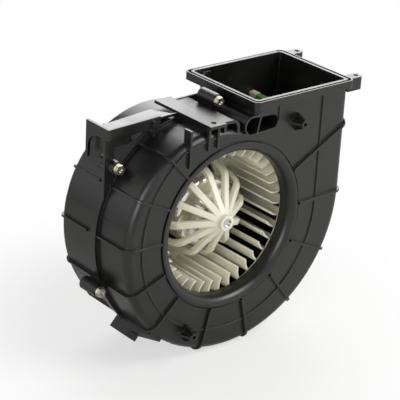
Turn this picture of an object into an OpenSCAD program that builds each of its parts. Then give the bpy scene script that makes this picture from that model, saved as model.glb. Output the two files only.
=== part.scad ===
// Cabin blower fan: a single-inlet centrifugal blower in a two-piece moulded scroll.
// The fan axis is the Y axis. The air inlet faces -Y and the outlet faces +Z.
// The origin is the centre of the inlet, on the front face of the scroll.

/* [Fan wheel] */
// Radius over the blade tips
wheel_r = 70; // [66:0.5:74]
// Radial width of the ring of blades
blade_w = 16; // [14:0.5:18]
// Number of forward-curved blades
blade_count = 37; // [29:1:43]
// Thickness of a blade
blade_t = 1.6; // [1.2:0.1:2]
// Radius of the arc that each blade follows
blade_arc_r = 14; // [12.5:0.5:16]
// Gap between the inlet throat and the front of the blades
wheel_front_gap = 2; // [1.5:0.5:4]
// Gap between the back plate of the wheel and the rear wall of the scroll
wheel_rear_gap = 10; // [8.5:0.5:12]
// Thickness of the back plate
back_plate_t = 2.5; // [2:0.1:3.5]
// Radial width of the ring that joins the blade tips at the front
tip_ring_w = 3; // [2:0.5:5]
// Depth of the front ring along the axis
tip_ring_h = 5; // [3:0.5:8]
// Number of arms in the cage between hub and back plate
arm_count = 12; // [8:1:14]
// Width of an arm across its length
arm_w = 5; // [3.5:0.5:6]
// Thickness of an arm
arm_t = 4; // [3:0.5:5]
// Gap between the motor can and the cage where an arm turns back
cage_gap = 5; // [3:0.5:6]
// Radius of the bend where an arm turns back
elbow_r = 12; // [9:0.5:15]
// Outward lean of an arm behind the bend
arm_flare = 11; // [4:0.5:12]
// Turning angle of the cage against the blades
cage_turn = 4.5; // [0:0.5:15]
// Diameter of the hub
hub_d = 13; // [12:0.5:16]
// Distance of the hub's front end behind the front face
hub_front_y = 5; // [4:0.5:8]
// Length of the hub
hub_len = 19; // [16:0.5:20]

/* [Scroll] */
// Depth of the scroll between its outer faces
scroll_depth = 86; // [84:1:92]
// Distance of the parting plane behind the front face
parting_y = 40; // [38:1:44]
// Wall thickness
wall = 2.5; // [2:0.1:3]
// Thickness of the flat front and rear faces
face_t = 3; // [2.8:0.1:3.6]
// Radius of the rounded shoulder between front face and outer wall
shoulder_r = 6; // [4.5:0.5:8]
// Radius of the shoulder between rear face and outer wall
rear_shoulder_r = 3.5; // [3.2:0.1:5]
// Arc over the top and the upper left: radius beyond the wheel
arc_1_gap = 12.5; // [11.5:0.5:15]
// Centre of the first arc, left of the fan axis
arc_1_left = 21.5; // [19:0.5:23]
// Centre of the first arc, above the fan axis
arc_1_up = 2.2; // [1:0.2:4]
// Arc round the lower left: radius beyond the wheel
arc_2_gap = 35; // [33:0.5:37]
// Arc round the lower right: radius beyond the wheel
arc_3_gap = 44; // [42:0.5:46]
// Direction at which the second arc takes over
arc_2_start = 168; // [160:1:176]
// Direction at which the third arc takes over
arc_3_start = 240; // [232:1:250]

/* [Inlet] */
// Radius of the inlet throat
throat_r = 62; // [60:0.5:64]
// Rounding radius of the bell mouth
bell_r = 7; // [5.5:0.5:8]
// How far the bell's lip stands in front of the face
bell_proud = 1; // [0.5:0.5:2]
// Length of the straight throat behind the bell
throat_len = 6; // [4:0.5:7]
// Width of the lip and of the groove round it
lip_w = 1.4; // [1:0.1:2]

/* [Outlet] */
// Outer face of the outlet's left wall
outlet_left = 18.5; // [17:0.5:20]
// Height of the outlet rim above the top of the scroll
outlet_rise = 17; // [15:0.5:22]
// Height of the rim band
rim_h = 6.8; // [5:0.2:8]
// How far the rim stands out from the outlet walls
rim_proud = 3.2; // [2.5:0.1:4]
// How far the rim stands out behind the rear wall
rim_rear_proud = 2; // [1.8:0.1:3.5]
// Corner radius of the rim
rim_corner_r = 5; // [3:0.5:7]
// Width of the outer lip round the groove on top of the rim
rim_lip = 1.3; // [1:0.1:1.6]
// Width of the groove on top of the rim
rim_groove_w = 2; // [1:0.1:2.2]
// Depth of the groove on top of the rim
rim_groove_d = 3; // [1:0.5:4]
// Radius of the outlet's rear left corner below the rim
outlet_corner_r = 25; // [20:0.5:28]
// Clearance between the tongue and the wheel
tongue_gap = 4.6; // [3.5:0.1:7]
// Tongue nose: distance of its root from the fan's vertical plane
tongue_x = 16; // [13:0.5:18]
// Tongue nose: radius at the root
tongue_root_r = 8.5; // [7:0.5:9.5]
// Tongue nose: radius at the tip
tongue_tip_r = 7.5; // [6:0.5:8.5]
// Tongue nose: length between the two radii
tongue_len = 20; // [16:0.5:24]

/* [Mounting lugs of the outlet] */
// Distance of the first lug's hole behind the front face
lug_y = 5; // [3:0.5:8]
// Distance between the two lug holes
lug_spacing = 72; // [68:0.5:74]
// Distance of the holes from the rim
lug_reach = 8.3; // [7:0.1:10]
// Diameter of the holes
lug_hole_d = 4.2; // [3:0.1:5]
// Width of a lug
lug_w = 10; // [8:0.5:12]
// Height of a lug
lug_h = 11; // [9:0.5:14]

/* [Ribs] */
// Thickness of the radial ribs
rib_t = 2; // [1.5:0.1:3]
// Height of the radial ribs
rib_h = 2.2; // [1.5:0.1:3]
// Radius of the ring rib on the front face
ring_rib_r = 90; // [86:0.5:92]
// Width of the ring rib
ring_rib_t = 1.4; // [1:0.1:2]
// Height of the ring rib
ring_rib_h = 1; // [0.5:0.1:1.5]
// Direction of the first rib on the right
right_rib_from = -104.4; // [-108:0.2:-101]
// Angle between the ribs on the right
right_rib_pitch = 26.6; // [25:0.1:27]
// Direction of the first rib on the left
left_rib_from = 155.6; // [152:0.2:158]
// Angle between the ribs on the left
left_rib_pitch = 22.6; // [21:0.1:24]

/* [Parting flange and screws] */
// Thickness of each half's flange
flange_t = 3; // [2:0.1:4]
// How far the flange stands out from the wall
flange_proud = 3; // [2:0.1:4]
// Diameter of a screw boss
boss_d = 11; // [10:0.5:13]
// Distance of a boss axis from the wall
boss_off = 9.5; // [8.5:0.5:12]
// Length of a boss in front of the parting plane
boss_front = 10; // [8:0.5:14]
// Length of a boss behind the parting plane
boss_rear = 9; // [8:0.5:12]
// Diameter of a housing screw
screw_d = 4.2; // [3:0.1:5]
// Length of a housing screw under its head
screw_len = 16; // [14:0.5:17]
// Width across flats of the screw head
screw_af = 7; // [6:0.5:8]
// Height of the screw head
screw_head_h = 4; // [3:0.2:5]
// Diameter of the flange under the screw head
screw_flange_d = 9; // [8.5:0.1:10]

/* [Bracket and front posts] */
// Height of the bracket above the top of the scroll
bracket_rise = 6.3; // [6:0.1:10]
// Thickness of the bracket's plates
bracket_t = 2.5; // [2:0.1:3]
// Width of the deck that runs front to back
deck_w = 16; // [13:0.5:17]
// Distance of the deck's right edge from the fan's vertical plane
deck_right = 14; // [13:0.5:16]
// Depth of the deck behind the front face
deck_depth = 68; // [60:1:75]
// How far the deck stands out in front of the front face
deck_over = 3; // [1:0.5:5]
// Distance of the deck's hole behind the front face
deck_hole_y = 3.7; // [3:0.1:6]
// Width of the arm that runs to the left
side_arm_w = 16; // [14:0.5:18]
// Height of the skirt along the front of the arm
side_arm_skirt = 9; // [6:0.5:11]
// Depth of the plate at the arm's left end
end_plate_depth = 29; // [26:1:32]
// Height of the plate at the arm's left end
end_plate_h = 30; // [26:1:36]
// Diameter of the hole in the deck
deck_hole_d = 4.4; // [3:0.1:6]
// Distance of the plate that closes the trough, behind the front face
trough_end_y = 60.5; // [58:0.5:63]
// Height of the front posts
post_h = 11; // [8:0.5:14]
// Diameter of the front posts
post_d = 7; // [6:0.5:9]
// Diameter of the blind hole in a front post
post_hole_d = 3.2; // [2:0.1:4]
// Places of the front posts, right and up from the fan axis
post_places = [[62, 77], [-42, -84]];

/* [Motor] */
// Radius of the motor can
motor_r = 30; // [28:0.5:31]
// Length of the motor can
can_len = 66; // [64:0.5:70]
// Thickness of the can's sheet steel
can_t = 1.5; // [1:0.1:2]
// Gap between the hub and the front bearing seat
hub_gap = 4; // [3:0.5:6]
// Diameter of the motor shaft
shaft_d = 6; // [5:0.5:8]
// Outer diameter of the two bearings
bearing_d = 13; // [12:0.5:14]
// Length of the two bearings
bearing_len = 7; // [5:0.5:8]
// Radial thickness of the field magnets
magnet_t = 3.4; // [2.5:0.1:4]
// Length of the field magnets
magnet_len = 38; // [32:1:40]
// Air gap between magnets and armature
air_gap = 1; // [0.6:0.1:1.5]
// Length of the armature's lamination stack
core_len = 34; // [28:1:36]
// Number of slots in the armature
slot_count = 12; // [10:1:14]
// Radius of the commutator
commutator_r = 9; // [8.5:0.5:10]
// Length of the commutator
commutator_len = 11; // [9:0.5:12]
// Width of a brush along the axis and across it
brush_w = 6; // [4:0.5:7]
// Travel of a brush against its spring
brush_travel = 2.5; // [1:0.5:3]

/* [Motor mount] */
// Thickness of the rubber sleeve round the motor
sleeve_t = 3.5; // [2.5:0.1:4]
// How far the sleeve reaches in front of the rear wall's outer face
sleeve_in = 4; // [3:0.5:5]
// Radius of the mount's flange
mount_flange_r = 54; // [52:0.5:58]
// Radius of the motor hole in the rear wall
motor_hole_r = 44; // [42:0.5:46]
// Radius of the circle of mount screws
mount_screw_r = 49; // [48.5:0.1:50]
// Number of mount screws
mount_screw_count = 3; // [3:1:5]
// Diameter of the small screws of mount and resistor
small_screw_d = 3.5; // [3:0.1:4]
// Length of the small screws under their heads
small_screw_len = 8; // [6:0.5:9]

/* [Resistor] */
// Place of the resistor, right of the fan axis
resistor_x = 88; // [84:0.5:92]
// Height of the resistor's upper edge above the fan axis
resistor_top = 72; // [66:0.5:74]
// How far the resistor reaches into the outlet
resistor_reach = 24; // [18:0.5:30]
// Width and height of the resistor
resistor_size = [7, 20]; // [5:0.5:24]

/* [Hidden] */
$fn = 96;
// Overlap that makes neighbouring shapes of one piece grow together
bite = 1;
// Clearance of parts that are pushed together, per side
push_gap = 0.05;
// Clearance of a screw in a plain hole, per side
screw_gap = 0.3;
// Clearance of the shaft in its bearings, per side
run_gap = 0.03;
// Clearance between parts that rub or pass close by
pass_gap = 0.3;

// Gap to the parting plane of what isn't clamped there
part_gap = 0.4;
// How far a straight stretch keeps inside the round one that it runs into
join_gap = 0.05;

function unit(a) = [cos(a), sin(a)];
// Rounds a length or a place to a hundredth of a millimetre
function snap(v) = is_num(v) ? round(v * 100) / 100 : [for (e = v) snap(e)];
function angle_of(p) = let (a = atan2(p.y, p.x)) a < 0 ? a + 360 : a;
// Distance from the fan axis to a circle with centre c, seen in direction a
function reach(c, r, a) = let (d = c * unit(a)) d + sqrt(d * d - c * c + r * r);

arc_1_r = wheel_r + arc_1_gap;
arc_2_r = wheel_r + arc_2_gap;
arc_3_r = wheel_r + arc_3_gap;
arc_1_c = [-arc_1_left, arc_1_up];
// Each stretch of the outer wall starts a hair outside the one before and overlaps its end
arc_step = 0.25;
arc_lap = 3;
arc_2_c = snap(arc_1_c - (arc_2_r - arc_step - arc_1_r) * unit(arc_2_start));
arc_3_c = snap(arc_2_c - (arc_3_r - arc_step - arc_2_r) * unit(arc_3_start));
arc_1_end = 68;
scroll_top = arc_1_c.y + arc_1_r;
scroll_left = arc_2_c.x - arc_2_r;
scroll_right = arc_3_c.x + arc_3_r + arc_step;
scroll_arcs = [
    [arc_1_c, arc_1_r, arc_1_end, arc_2_start + arc_lap],
    [arc_2_c, arc_2_r, arc_2_start, arc_3_start + arc_lap],
    [arc_3_c, arc_3_r, arc_3_start, 360 + arc_lap]];
arc_2_seen = angle_of(arc_1_c + arc_1_r * unit(arc_2_start));
arc_3_seen = angle_of(arc_2_c + arc_2_r * unit(arc_3_start));
// Distance of the outer wall from the fan axis in direction a
function wall_r(a) =
    a < 0 ? wall_r(a + 360) :
    a < 60 ? scroll_right / cos(a) :
    a < arc_2_seen ? reach(arc_1_c, arc_1_r, a) :
    a < arc_3_seen ? reach(arc_2_c, arc_2_r, a) : reach(arc_3_c, arc_3_r, a);

outlet_top = scroll_top + outlet_rise;
tongue_root = [
    tongue_x,
    snap(sqrt(pow(wheel_r + tongue_gap + tongue_root_r, 2) - tongue_x * tongue_x))];
tongue_tip = tongue_root + [tongue_len, 0];
right_ribs = [for (i = [0 : 5]) right_rib_from + i * right_rib_pitch];
left_ribs = [for (i = [-1 : 3]) left_rib_from + i * left_rib_pitch];
lug_x = scroll_right + rim_proud + lug_reach;

// Each screw boss: its place and the direction away from the wall
function rim_screw(a) = [snap((wall_r(a) + boss_off) * unit(a)), a];
trough_screw = [[outlet_left - rim_proud - boss_d - bite, outlet_top - rim_h + bite], 90];
side_screw = [[scroll_right + boss_off, scroll_top - 12], 0];
screws = concat([for (a = [147.5, 201, 300, 345]) rim_screw(a)], [trough_screw, side_screw]);
screw_seat_y = parting_y - boss_front;
boss_web_w = boss_d - 3;
// Wall round the hollow tongue and thickness of its web
nose_wall = 1.6;

bracket_top = scroll_top + bracket_rise;
deck_left = -deck_right - deck_w;
arm_front_y = parting_y - 7;
arm_slant = 5;
skirt_end_x = deck_left - 18;
fin_x = deck_left - 19;
arm_rib_x = fin_x - 8;
end_plate_x = scroll_left + 4;
trough_end_t = 2;
// How deep pieces on the outside reach into the wall
into_wall = 0.7 * wall;
// Height on the front face where an upright at x begins, a little outside the bell
function foot_z(x) = snap(sqrt(pow(bell_outer_r + shoulder_r, 2) - x * x));

throat_end_y = bell_r - bell_proud + throat_len;
bell_c = [throat_r + bell_r, bell_r - bell_proud];
bell_outer_r = bell_c.x + 2 * lip_w;
wheel_front_y = throat_end_y + wheel_front_gap;
wheel_rear_y = scroll_depth - face_t - wheel_rear_gap;
blade_inner_r = wheel_r - blade_w;
cage_outer_r = motor_r + cage_gap + arm_t;
hub_rear_y = hub_front_y + hub_len;
bearing_seat_y = hub_rear_y + hub_gap;
bearing_seat_len = bearing_len - 2;
motor_front_y = bearing_seat_y + bearing_seat_len;
motor_rear_y = motor_front_y + can_len;
end_cap_t = 2;
end_cap_rear_y = motor_rear_y + end_cap_t;
rear_bearing_y = motor_rear_y - 0.5;
shaft_rear_y = rear_bearing_y + bearing_len + 1.5;
shaft_r = shaft_d / 2;
insert_t = 1;
insert_r = shaft_r + insert_t;
elbow_y = motor_front_y + elbow_r / 4;
cage_rear_r = cage_outer_r + (wheel_rear_y - elbow_y) * tan(arm_flare);
magnet_outer_r = motor_r - can_t - push_gap;
magnet_inner_r = magnet_outer_r - magnet_t;
core_r = magnet_inner_r - air_gap;
brush_card_t = 2.45;
brush_card_y = motor_rear_y - push_gap - brush_card_t;
brush_card_r = motor_r - can_t - push_gap;
brush_gap = 1;
brush_y = brush_card_y - brush_gap - brush_w;
brush_in_r = commutator_r + pass_gap;
commutator_y = brush_y - (commutator_len - brush_w) / 2;
winding_over = 6;
commutator_gap = 2;
core_y = commutator_y - commutator_gap - winding_over - core_len;
magnet_y = core_y - (magnet_len - core_len) / 2;
// The brush channels end inside the card's round edge
guide_wall = 1.5;
guide_end_t = 2;
guide_w = brush_w + 2 * push_gap + 2 * guide_wall;
guide_out = snap(sqrt(pow(brush_card_r - pass_gap, 2) - pow(guide_w / 2, 2)));
// The spring keeps this length when the brush is pushed all the way back
spring_pressed = 5;
spring_len = spring_pressed + brush_travel;
spring_to = guide_out - guide_end_t - push_gap;
spring_from = spring_to - spring_len;
brush_len = spring_from - push_gap - commutator_r;
sleeve_inner_r = motor_r + push_gap;
sleeve_outer_r = sleeve_inner_r + sleeve_t;
sleeve_y = scroll_depth - sleeve_in;
mount_bore_r = sleeve_outer_r + push_gap;
mount_cup_r = mount_bore_r + wall;
mount_lip_t = 2.5;
mount_hole_r = motor_r - 7;
mount_flange_t = 3;
socket_size = [15, 9];
socket_z = -14.5;
socket_len = 14;
socket_floor_t = 2;
socket_t = 1.5;
terminal_size = [0.8, 4.8];
small_head_d = 2 * small_screw_d;
small_head_h = 2.4;
small_boss_d = small_screw_d + 2 * wall;
resistor_z = resistor_top - resistor_size.y / 2;
resistor_hole = resistor_size + [2 * pass_gap, 2 * pass_gap];
resistor_plate = [34, 30];
resistor_plate_t = 3;
resistor_screw_off = 13;

// Moves a flat outline in X and Z to stand between two depths along Y
module along_y(from, to) {
    translate([0, to, 0]) rotate([90, 0, 0]) linear_extrude(to - from) children();
}

// Turns a section (x outward, y rearward) about the fan axis
module about_fan_axis(start = 0, sweep = 360) {
    rotate([-90, 0, 0]) rotate_extrude(angle = sweep, start = 360 - start - sweep) children();
}

// Round bar along Y
module rod(r, from, to) {
    along_y(from, to) circle(r);
}

// Round tube along Y
module tube(r_out, r_in, from, to) {
    along_y(from, to) difference() {
        circle(r_out);
        circle(r_in);
    }
}

// Pie slice of a circle
module slice_2d(c, r, from, to) {
    far = 2 * r;
    step = (to - from) / 4;
    intersection() {
        translate(c) circle(r);
        polygon(concat([c], [for (i = [0 : 4]) c + far * unit(from + i * step)]));
    }
}

// Two circles on a level line joined by their common tangents
module nose_2d(inset = 0) {
    a = tongue_root_r - inset;
    b = tongue_tip_r - inset;
    t = acos((a - b) / tongue_len);
    translate(tongue_root) circle(a);
    translate(tongue_tip) circle(b);
    near = a - join_gap;
    far = b - join_gap;
    polygon([
        tongue_root + near * unit(t), tongue_root + near * unit(-t),
        tongue_tip + far * unit(-t), tongue_tip + far * unit(t)]);
}

// Outline of the scroll with its outlet, grown outward
module scroll_2d(grow = 0) {
    for (arc = scroll_arcs) slice_2d(arc[0], arc[1] + grow, arc[2] - bite, arc[3] - bite);
    circle(wheel_r + tongue_gap + wall);
    nose_2d(-grow);
    translate([outlet_left - grow, 0])
        square([scroll_right - outlet_left + 2 * grow, outlet_top]);
}

// Section of a wall with a rounded shoulder: x outward, y rearward
module edge_2d(r, round, width, front, back) {
    inner = r - width;
    translate([inner, front]) square([r - round - inner, back - front]);
    translate([inner, front + round]) square([r - inner, back - front - round]);
    translate([r - round, front + round]) intersection() {
        circle(round);
        translate([-bite, -round]) square(round + bite);
    }
}

module shoulder_2d(r, depth, round, floor_t) {
    difference() {
        edge_2d(r, round, 2 * round, 0, depth);
        translate([-bite, 0])
            edge_2d(r - wall + bite, round - wall, 2 * round, floor_t, depth + bite);
    }
}

// Section of the outer wall with the flange round its open side
module wall_2d(r, depth, round, floor_t) {
    shoulder_2d(r, depth, round, floor_t);
    translate([r - wall / 2, depth - flange_t]) square([flange_proud + wall / 2, flange_t]);
}

// One half of the scroll, its closed face at y = 0 and its open side at y = depth
module half_scroll(depth, round, corner_r) {
    difference() {
        union() {
            along_y(0, face_t) scroll_2d(-round - bite);
            for (arc = scroll_arcs)
                translate([arc[0].x, 0, arc[0].y])
                about_fan_axis(arc[2], arc[3] - arc[2])
                wall_2d(arc[1], depth, round, wall);
            translate([0, 0, arc_3_c.y])
                linear_extrude(outlet_top - rim_h / 2 - arc_3_c.y)
                wall_2d(scroll_right, depth, round, (wall + face_t) / 2);
            translate([0, 0, tongue_root.y])
                linear_extrude(outlet_top - rim_h / 2 - tongue_root.y)
                mirror([1, 0])
                wall_2d(-outlet_left, depth, corner_r, (wall + face_t) / 2);
            along_y(0, depth) nose_2d();
        }
        along_y(-bite, depth - wall) nose_2d(nose_wall);
    }
}

// Leaning web across the open front of the tongue
module nose_web() {
    foot = tongue_root + [tongue_len / 5, -tongue_root_r];
    lean = [tongue_len / 5, 2 * tongue_root_r];
    along_y(part_gap, parting_y - wall / 2) intersection() {
        nose_2d(nose_wall / 2);
        polygon([foot, foot + [nose_wall, 0], foot + [nose_wall, 0] + lean, foot + lean]);
    }
}

// Space outside the outlet's rounded rear corner, above the tongue and the roof of the scroll
module corner_recess() {
    r = outlet_corner_r;
    floor_z = wheel_r + tongue_gap + 1.2 * wall;
    from_x = tongue_x - tongue_root_r - bite;
    difference() {
        translate([0, 0, floor_z]) linear_extrude(outlet_top - rim_h / 2 - floor_z) difference() {
            translate([from_x, trough_end_y + trough_end_t / 2])
                square([outlet_left + r - from_x, scroll_depth]);
            translate([outlet_left, 0]) square([2 * r, scroll_depth - r]);
            translate([outlet_left + r, 0]) square([r, scroll_depth + bite]);
            translate([outlet_left + r, scroll_depth - r]) circle(r);
        }
        rod_at(arc_1_c, arc_1_r + part_gap, 0, 2 * scroll_depth);
    }
}

// Upright plate that closes the trough between bracket and outlet at the rear
module trough_end() {
    along_y(trough_end_y, trough_end_y + trough_end_t) difference() {
        translate([pass_gap - deck_right, 0])
            square([outlet_left + deck_right - pass_gap + wall / 2, bracket_top]);
        scroll_2d(-into_wall);
    }
}

// Rectangle with round corners between two points
module round_rect(low, high, r) {
    translate([low.x + r, low.y]) square([high.x - low.x - 2 * r, high.y - low.y]);
    translate([low.x, low.y + r]) square([high.x - low.x, high.y - low.y - 2 * r]);
    for (x = [low.x + r, high.x - r], y = [low.y + r, high.y - r]) translate([x, y]) circle(r);
}

// Rim outline drawn in by a given amount
module rim_2d(inset) {
    round_rect(
        [outlet_left - rim_proud + inset, -rim_proud + inset],
        [scroll_right + rim_proud - inset, scroll_depth + rim_rear_proud - inset],
        rim_corner_r - inset / 2);
}

// The part of the outlet rim between two depths, with its lugs
module rim(from, to, lugs) {
    difference() {
        union() {
            translate([0, 0, outlet_top - rim_h]) linear_extrude(rim_h) rim_2d(0);
            for (y = lugs) lug(y);
        }
        translate([0, 0, outlet_top - rim_h - bite]) linear_extrude(rim_h + 2 * bite)
            round_rect(
                [outlet_left + wall, wall], [scroll_right - wall, scroll_depth - wall],
                shoulder_r - wall);
        translate([0, 0, outlet_top - rim_groove_d]) linear_extrude(rim_groove_d + bite)
            difference() {
                rim_2d(rim_lip);
                rim_2d(rim_lip + rim_groove_w);
            }
        for (y = lugs)
            translate([lug_x, y, outlet_top - lug_h - bite])
            cylinder(h = lug_h + 2 * bite, d = lug_hole_d);
        far = 2 * scroll_depth;
        translate([-far, from - far, 0]) cube([3 * far, far, outlet_top + far]);
        translate([-far, to, 0]) cube([3 * far, far, outlet_top + far]);
    }
}

// Lug with an upright hole beside the rim
module lug(y) {
    translate([0, y, outlet_top - lug_h]) linear_extrude(lug_h) {
        translate([scroll_right - wall / 2, -lug_w / 2]) square([lug_x - scroll_right + wall / 2, lug_w]);
        translate([lug_x, 0]) circle(lug_w / 2);
    }
}

// Rib over the face, the shoulder and the outer wall in direction a
module rib(a, from_r, flange_y, shoulder) {
    r = snap(wall_r(a));
    round = shoulder + bite;
    rotate([0, -a, 0]) translate([0, 0, -rib_t / 2]) linear_extrude(rib_t) {
        translate([from_r, -rib_h]) square([r - round - from_r, rib_h + bite]);
        intersection() {
            translate([r - round, -rib_h]) square([round + rib_h, round + rib_h]);
            translate([r - round, round]) difference() {
                circle(round + rib_h);
                circle(round - bite);
            }
        }
        translate([r - bite, round]) square([rib_h + bite, flange_y - round]);
    }
}

// Screw boss with a web down to the wall
module boss(place, from, to, web_from, web_to) {
    web_len = place[1] == 90 ? place[0].y - scroll_top + 2 * wall : boss_off + wall / 2;
    rod_at(place[0], boss_d / 2, from, to);
    translate([place[0].x, 0, place[0].y]) rotate([0, -place[1], 0])
        translate([-web_len, web_from, -boss_web_w / 2])
        cube([web_len, web_to - web_from, boss_web_w]);
}

module rod_at(p, r, from, to) {
    translate([p.x, 0, p.y]) rod(r, from, to);
}

// Bell mouth and throat of the inlet, as a section turned about the fan axis
module bell() {
    about_fan_axis() {
        intersection() {
            translate(bell_c) difference() {
                circle(bell_r);
                circle(bell_r - wall);
            }
            translate(bell_c - [bell_r, bell_r]) square([bell_r, bell_r]);
        }
        translate([throat_r, bell_c.y]) square([wall, throat_len]);
        translate([bell_c.x - bite, -bell_proud]) square([lip_w + bite, wall + bell_proud]);
        translate([bell_c.x - bell_r + wall, wall / 2])
            square([bell_r + 2 * lip_w - wall + bite, wall]);
    }
}

// Front post with four tapered gussets and a blind hole
module post(p) {
    gusset_r = post_d / 2 + 4.5;
    gusset_h = post_h - 1;
    side = [[0, bite], [gusset_r, bite], [gusset_r, 0], [post_d / 2, -gusset_h], [0, -gusset_h]];
    translate([p.x, 0, p.y]) {
        rod(post_d / 2, -post_h, bite);
        for (s = [-1, 1]) {
            translate([0, 0, -rib_t / 2]) linear_extrude(rib_t) polygon([for (q = side) [s * q.x, q.y]]);
            translate([-rib_t / 2, 0, 0]) rotate([90, 0, 90]) linear_extrude(rib_t)
                polygon([for (q = side) [q.y, s * q.x]]);
        }
    }
}

module post_hole(p) {
    rod_at(p, post_hole_d / 2, -post_h - bite, -2);
}

// Bracket on top of the front half
module bracket() {
    z0 = bracket_top - bracket_t;
    roof_r = 7;
    roof_right = 2;
    // Deck from front to back, its left wall, the leg at its corner and the fin beside it
    translate([deck_left, -deck_over, z0]) cube([deck_w, deck_depth + deck_over, bracket_t]);
    deck_side();
    upright(deck_left - bite, -rib_h, bite, foot_z(deck_left - bite), z0 + bite / 2);
    upright(deck_left + deck_w / 2, -rib_h, shoulder_r / 2, foot_z(deck_left), z0 + bite / 2);
    upright(fin_x, -rib_h, shoulder_r, foot_z(fin_x), bracket_top);
    // Roof beside the deck, rounded down to the scroll
    difference() {
        along_y(0, parting_y - flange_t) {
            translate([-deck_right, 0]) difference() {
                square([deck_right + roof_right, bracket_top]);
                translate([deck_right + roof_right - roof_r, bracket_top - roof_r]) square(2 * roof_r);
            }
            translate([roof_right - roof_r, bracket_top - roof_r]) circle(roof_r);
        }
        along_y(-bite, parting_y) {
            translate([-deck_right + bracket_t, -bite])
                square([deck_right + roof_right - roof_r - bracket_t, bracket_top - bracket_t + bite]);
            translate([-deck_right + bracket_t, -bite])
                square([deck_right + roof_right - 2 * bracket_t, bracket_top - roof_r + bite]);
            translate([roof_right - roof_r, bracket_top - roof_r]) circle(roof_r - bracket_t);
            scroll_2d(-into_wall);
        }
    }
    side_arm();
    upright(arm_rib_x, arm_front_y + bite, parting_y - flange_t / 2, foot_z(arm_rib_x), z0 + bite / 2);
    // Plate at the arm's end, cut away under a round arch
    arch_r = 13;
    arch_top = bracket_top - side_arm_skirt;
    plate_low = bracket_top - end_plate_h;
    leg = 2.5;
    translate([end_plate_x, 0, 0]) rotate([90, 0, 90]) linear_extrude(bracket_t) difference() {
        translate([arm_front_y, plate_low]) square([end_plate_depth, end_plate_h]);
        translate([arm_front_y + end_plate_depth - leg - arch_r, arch_top - arch_r]) circle(arch_r);
        translate([arm_front_y - bite, plate_low - bite])
            square([end_plate_depth - leg - arch_r + bite, end_plate_h - side_arm_skirt + bite]);
        translate([arm_front_y - bite, plate_low - bite])
            square([end_plate_depth - leg + bite, end_plate_h - side_arm_skirt - arch_r + bite]);
    }
    // Panel behind the arch
    pillar_w = 8.5;
    panel_low = screws[0][0].y + boss_d / 2 + bracket_t;
    translate([end_plate_x + pillar_w - rib_t - part_gap, parting_y - flange_t, panel_low])
        cube([rib_t, end_plate_depth - leg - flange_t, bracket_top - rib_t - bracket_t - panel_low]);
    // Web along the parting plane that carries the arm's end
    web_w = 24.5;
    web_step = 7.5;
    along_y(parting_y - flange_t - part_gap, parting_y - 2 * part_gap) difference() {
        polygon([
            [end_plate_x, z0], [end_plate_x + web_w, z0],
            [end_plate_x + web_w, arch_top - web_step / 2],
            [end_plate_x + web_w - web_step / 2, arch_top - web_step],
            [end_plate_x + pillar_w + rib_t, arch_top - web_step],
            [end_plate_x + pillar_w, arch_top - web_step - rib_t],
            [end_plate_x + pillar_w, plate_low - end_plate_h], [end_plate_x, plate_low - end_plate_h]]);
        scroll_2d(-into_wall);
    }
}

// Arm to the left: a plate that falls towards the rear, with a skirt along its front
module side_arm() {
    wide = 1.7 * side_arm_w;
    drop = 3;
    narrow_x = deck_left - 2 * bracket_t;
    rear = parting_y - part_gap;
    slant_at = arm_slant * (skirt_end_x - end_plate_x) / (deck_left - end_plate_x);
    top = bracket_top - part_gap;
    intersection() {
        translate([0, 0, bracket_top - 2 * side_arm_skirt]) linear_extrude(3 * side_arm_skirt) polygon([
            [end_plate_x, arm_front_y], [deck_left + bite, arm_front_y + arm_slant],
            [deck_left + bite, rear], [narrow_x, rear],
            [narrow_x - arm_slant, arm_front_y + wide], [end_plate_x, arm_front_y + side_arm_w]]);
        translate([end_plate_x - bite, 0, 0]) rotate([90, 0, 90])
            linear_extrude(deck_left - end_plate_x + 3 * bite) polygon([
                [arm_front_y, top], [arm_front_y, top - rib_t],
                [arm_front_y + wide + bite, top - rib_t - drop], [arm_front_y + wide + bite, top - drop]]);
    }
    translate([0, 0, bracket_top - side_arm_skirt]) linear_extrude(side_arm_skirt) polygon([
        [end_plate_x, arm_front_y], [skirt_end_x, arm_front_y + slant_at],
        [skirt_end_x, arm_front_y + slant_at + bracket_t], [end_plate_x, arm_front_y + bracket_t]]);
}

// Upright plate that stands on the scroll between two depths
module upright(x, front, back, low, top) {
    difference() {
        translate([x, front, low]) cube([rib_t, back - front, top - low]);
        along_y(wall / 2, back + bite) scroll_2d(-into_wall);
    }
}

// Left wall of the deck: its lower edge falls towards the rear
module deck_side() {
    back = parting_y - flange_t / 2;
    front_h = 2 * bracket_t;
    fall_to = 3 * shoulder_r;
    difference() {
        translate([deck_left, 0, 0]) rotate([90, 0, 90]) linear_extrude(bracket_t) polygon([
            [-rib_h / 2, bracket_top - bite], [back, bracket_top - bite],
            [back, bracket_top - side_arm_skirt - bracket_t],
            [fall_to, bracket_top - side_arm_skirt], [-rib_h / 2, bracket_top - front_h]]);
        along_y(wall / 2, back + bite) scroll_2d(-into_wall);
    }
}

// Lug on the lower left of the scroll, the part between two depths
module stop_lug(from, to, block_from) {
    a = 229;
    r = wall_r(a);
    lug_high = 13;
    lug_wide = 14;
    rotate([0, -a, 0]) {
        translate([r - wall / 2, block_from, -lug_wide / 2])
            cube([lug_high + wall / 2, to - block_from, lug_wide]);
        translate([0, 0, -lug_wide / 2]) linear_extrude(lug_wide)
            polygon([
                [r - wall / 2, from], [r + rib_h, from], [r + lug_high * 0.6, block_from],
                [r + lug_high * 0.6, to], [r - wall / 2, to]]);
    }
}

// Cut that clears a screw boss for the screw
module screw_hole(place, r, from, to) {
    rod_at(place[0], r, from, to);
}

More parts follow.
